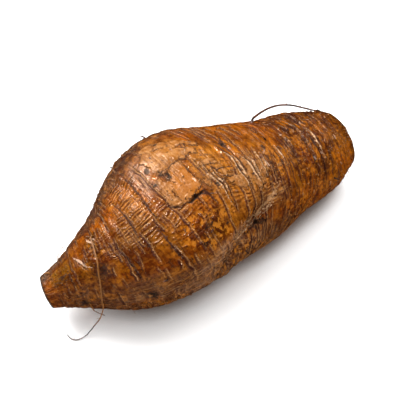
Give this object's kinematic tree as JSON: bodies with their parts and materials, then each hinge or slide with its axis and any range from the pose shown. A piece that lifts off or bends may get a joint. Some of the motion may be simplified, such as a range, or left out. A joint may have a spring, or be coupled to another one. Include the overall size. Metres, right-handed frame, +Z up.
{
  "type": "kudzu root",
  "caption": "Whole kudzu root lying on its side: narrow cut neck, fat ringed belly, thinner trunk with a cut end, creased brown bark and a few thin rootlets",
  "frame": {"origin": "on the surface that the root rests on, under the middle of its bounding box", "axes": "+X along the root from its narrow cut neck to its cut far end, +Z up; the side with the fold faces -Y"},
  "size_m": [0.2493, 0.1145, 0.0996],
  "materials": {
    "bark": "wet, wrinkled brown bark with lighter papery patches"
  },
  "bodies": {
    "root": {"root": "bark"}
  },
  "joints": []
}
